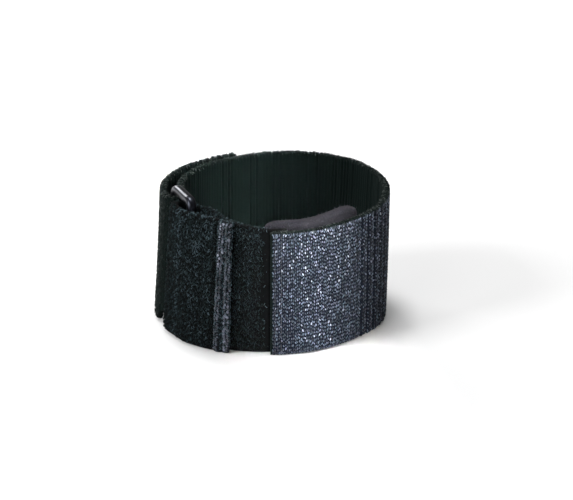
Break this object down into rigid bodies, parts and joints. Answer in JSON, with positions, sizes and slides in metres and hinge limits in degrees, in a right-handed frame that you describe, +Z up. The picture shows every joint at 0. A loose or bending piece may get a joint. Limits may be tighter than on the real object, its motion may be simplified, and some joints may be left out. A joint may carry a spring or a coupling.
{
  "type": "elbow support",
  "caption": "Wide elastic forearm strap that closes through a moulded ring held by a plush tab, with a felt pad inside the front, standing as a loop on its lower edge.",
  "frame": {"origin": "centre of the loop's box, on the surface that it stands on", "axes": "+Z up along the arm's axis, -Y towards the front where the strap is sewn to the tab, +X to the right as seen from the front"},
  "size_m": [0.138, 0.1354, 0.0843],
  "materials": {
    "heather_elastic": "ribbed heather elastic, black inner face",
    "black_plush": "short loop pile",
    "grey_binding": "stitched knitted binding",
    "grey_felt": "soft felt",
    "hook_tape": "hook tape",
    "moulded_ring": "glossy moulded plastic"
  },
  "bodies": {
    "root": {"elastic_strap": "heather_elastic", "ring_tab": "black_plush", "seam_binding": "grey_binding", "felt_pad": "grey_felt", "hook_tab": "hook_tape", "ring": "moulded_ring"}
  },
  "joints": []
}
